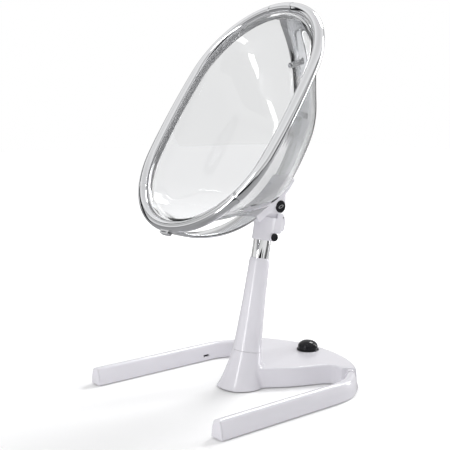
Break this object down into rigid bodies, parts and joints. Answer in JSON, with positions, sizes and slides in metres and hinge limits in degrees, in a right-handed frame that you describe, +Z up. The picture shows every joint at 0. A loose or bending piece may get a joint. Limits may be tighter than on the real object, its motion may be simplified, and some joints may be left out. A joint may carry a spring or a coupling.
{
  "type": "high chair",
  "caption": "Child's high chair with a clear bucket seat in an oval metal hoop, tilting on a leaning height-adjustable column above a boot-shaped base with two long floor legs.",
  "frame": {"origin": "on the floor, centre of the chair's footprint, where the column's axis meets the floor", "axes": "+X across the seat to the sitter's left, +Y to the back, +Z up"},
  "size_m": [0.574, 0.634, 1.0659],
  "materials": {
    "white_plastic": "gloss",
    "polished_aluminium": "polished",
    "chrome": "polished",
    "clear_plastic": "gloss, clear polycarbonate",
    "black_gloss": "gloss",
    "grey_nylon": "satin",
    "steel": "satin",
    "cast_iron": "painted",
    "rubber": "matte",
    "grey_rubber": "matte"
  },
  "bodies": {
    "base": {"base_housing": "white_plastic", "base_plate": "steel", "plate_screws": "steel", "base_pads": "rubber", "column_foot": "cast_iron", "guide_tube": "steel", "upper_bush": "grey_nylon", "gas_rod": "steel", "rod_nut": "steel", "column_cover": "white_plastic", "foot_tube": "steel", "right_leg": "white_plastic", "left_leg": "white_plastic", "right_leg_cap": "white_plastic", "left_leg_cap": "white_plastic", "leg_pads": "rubber", "leg_bolts": "steel", "pedal_bezel": "black_gloss", "lever_bracket": "steel", "lever_pin": "steel", "pedal_spring": "steel"},
    "pedal": {"pedal_cap": "black_gloss", "pedal_stem": "steel"},
    "release_lever": {"release_lever": "steel"},
    "valve_pin": {"valve_pin": "steel"},
    "lift": {"lift_tube": "chrome", "lift_bush": "grey_nylon", "gas_cylinder": "steel", "cylinder_seal": "grey_nylon", "tube_plug": "steel", "hub_yoke": "white_plastic", "hub_screws": "steel", "button_spring": "steel", "paddle_pin": "steel"},
    "side_button": {"side_button": "black_gloss"},
    "recline_paddle": {"recline_paddle": "white_plastic"},
    "brake_shoe": {"brake_shoe": "grey_nylon"},
    "seat": {"saddle": "white_plastic", "back_band": "polished_aluminium", "front_band": "polished_aluminium", "shell": "clear_plastic", "shell_pads": "grey_rubber", "shell_screws": "steel", "band_screws": "steel", "rim_gasket": "grey_rubber", "hoop_right": "polished_aluminium", "hoop_left": "polished_aluminium", "hoop_lower": "polished_aluminium", "hoop_sleeve": "polished_aluminium", "hoop_spigots": "steel", "front_clip": "polished_aluminium", "pivot_pin": "steel", "pivot_cap_right": "black_gloss", "pivot_cap_left": "black_gloss"}
  },
  "joints": [
    {"name": "pedal_press", "type": "slide", "parent": "base", "child": "pedal", "axis": [0, 0, -1], "range_m": [0, 0.006], "stiffness_N_per_m": 2500, "springref_m": -0.004, "deforming": ["pedal_spring"]},
    {"name": "lever_rock", "type": "hinge", "parent": "base", "child": "release_lever", "pos_m": [0, 0.118, 0.0225], "axis": [-1, 0, 0], "range_deg": [0, 2.4]},
    {"name": "valve_lift", "type": "slide", "parent": "base", "child": "valve_pin", "axis": [0, 0.1805, 0.9836], "range_m": [0, 0.0048]},
    {"name": "height_slide", "type": "slide", "parent": "base", "child": "lift", "axis": [0, 0.1805, 0.9836], "range_m": [-0.045, 0.08]},
    {"name": "side_button_press", "type": "slide", "parent": "lift", "child": "side_button", "axis": [-1, 0, 0], "range_m": [0, 0.0035], "stiffness_N_per_m": 900, "springref_m": -0.002},
    {"name": "recline_paddle_pull", "type": "hinge", "parent": "lift", "child": "recline_paddle", "pos_m": [0, 0.13271, 0.46824], "axis": [1, 0, 0], "range_deg": [0, 5], "stiffness_Nm_per_rad": 4, "springref_deg": -3.44},
    {"name": "brake_release", "type": "slide", "parent": "lift", "child": "brake_shoe", "axis": [0, -0.1805, -0.9836], "range_m": [0, 0.0027]},
    {"name": "seat_recline", "type": "hinge", "parent": "lift", "child": "seat", "pos_m": [0, 0.10799, 0.50307], "axis": [-1, 0, 0], "range_deg": [0, 20]}
  ],
  "couplings": [
    {"joint": "lever_rock", "follows": "pedal_press", "rad_per_m": 6.849},
    {"joint": "valve_lift", "follows": "pedal_press", "ratio": 0.78},
    {"joint": "brake_release", "follows": "recline_paddle_pull", "m_per_rad": 0.0295}
  ]
}
